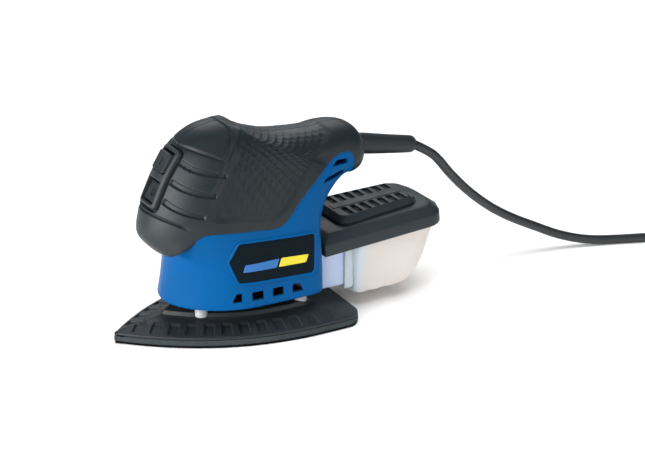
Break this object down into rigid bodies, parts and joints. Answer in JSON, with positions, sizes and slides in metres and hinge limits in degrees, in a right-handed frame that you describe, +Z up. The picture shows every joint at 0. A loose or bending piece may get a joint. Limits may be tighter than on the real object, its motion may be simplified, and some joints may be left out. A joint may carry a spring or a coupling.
{
  "type": "detail mouse sander",
  "caption": "Palm-grip detail sander with a pointed orbiting sanding pad, rocker switch, slide-off dust box and coiled mains cord.",
  "frame": {"origin": "on the spindle's axis at the sanding face, the underside of the hook layer", "axes": "+X to the rear, where the cord leaves; -X to the pointed nose; +Y to the tool's right side; +Z up, along the spindle"},
  "size_m": [0.5297, 0.1243, 0.1247],
  "materials": {
    "blue_plastic": "satin",
    "grip_rubber": "matt soft-touch",
    "black_plastic": "fine moulded texture",
    "cord_pvc": "satin",
    "label_film": "satin",
    "pad_foam": "open cell",
    "hook_fabric": "hook pile",
    "leg_plastic": "satin",
    "milky_plastic": "translucent",
    "clear_plastic": "translucent",
    "steel": "machined",
    "copper": "enamelled copper wire",
    "brass": "satin",
    "carbon": "pressed carbon",
    "inner_plastic": "moulded",
    "filter_paper": "paper"
  },
  "bodies": {
    "housing": {"left_housing": "blue_plastic", "right_housing": "blue_plastic", "left_grip": "grip_rubber", "right_grip": "grip_rubber", "left_label": "label_film", "right_label": "label_film", "switch_frame": "black_plastic", "switch_body": "inner_plastic", "field_core": "steel", "left_field_coil": "copper", "right_field_coil": "copper", "upper_bearing": "steel", "lower_bearing": "steel", "bearing_bracket": "inner_plastic", "left_brush_holder": "brass", "right_brush_holder": "brass", "left_brush": "carbon", "right_brush": "carbon", "left_brush_spring": "steel", "right_brush_spring": "steel", "housing_screw_1": "steel", "housing_screw_2": "steel", "housing_screw_3": "steel", "housing_screw_4": "steel", "base_shroud": "black_plastic", "strain_relief": "cord_pvc", "cord_clamp": "inner_plastic", "cord": "cord_pvc", "cord_coil": "cord_pvc", "cord_tail": "cord_pvc", "plug_body": "cord_pvc", "earth_pin": "brass", "live_pin": "brass", "neutral_pin": "brass"},
    "rotor": {"armature_shaft": "steel", "armature_core": "steel", "lower_winding": "copper", "upper_winding": "copper", "commutator": "brass", "fan": "black_plastic", "eccentric": "steel", "pad_screw": "steel"},
    "pad": {"base_plate": "black_plastic", "foam_pad": "pad_foam", "hook_layer": "hook_fabric", "eccentric_bearing": "steel", "support_leg_1": "leg_plastic", "support_leg_2": "leg_plastic", "support_leg_3": "leg_plastic", "support_leg_4": "leg_plastic"},
    "dust_box": {"dust_lid": "black_plastic", "dust_bin": "milky_plastic", "dust_neck": "clear_plastic", "dust_filter": "filter_paper"},
    "rocker": {"switch_rocker": "black_plastic"}
  },
  "joints": [
    {"name": "motor_spin", "type": "hinge", "parent": "housing", "child": "rotor", "pos_m": [0, 0, 0.05], "axis": [0, 0, 1], "continuous": true},
    {"name": "pad_orbit", "type": "hinge", "parent": "rotor", "child": "pad", "pos_m": [0.00075, 0, 0.015], "axis": [0, 0, 1], "continuous": true},
    {"name": "rocker_tilt", "type": "hinge", "parent": "housing", "child": "rocker", "pos_m": [-0.03786, 0, 0.09531], "axis": [0, 1, 0], "range_deg": [0, 16]},
    {"name": "dust_box_slide", "type": "slide", "parent": "housing", "child": "dust_box", "axis": [0.9977, 0, 0.068], "range_m": [0, 0.018]}
  ],
  "couplings": [
    {"joint": "pad_orbit", "follows": "motor_spin", "ratio": -1}
  ]
}
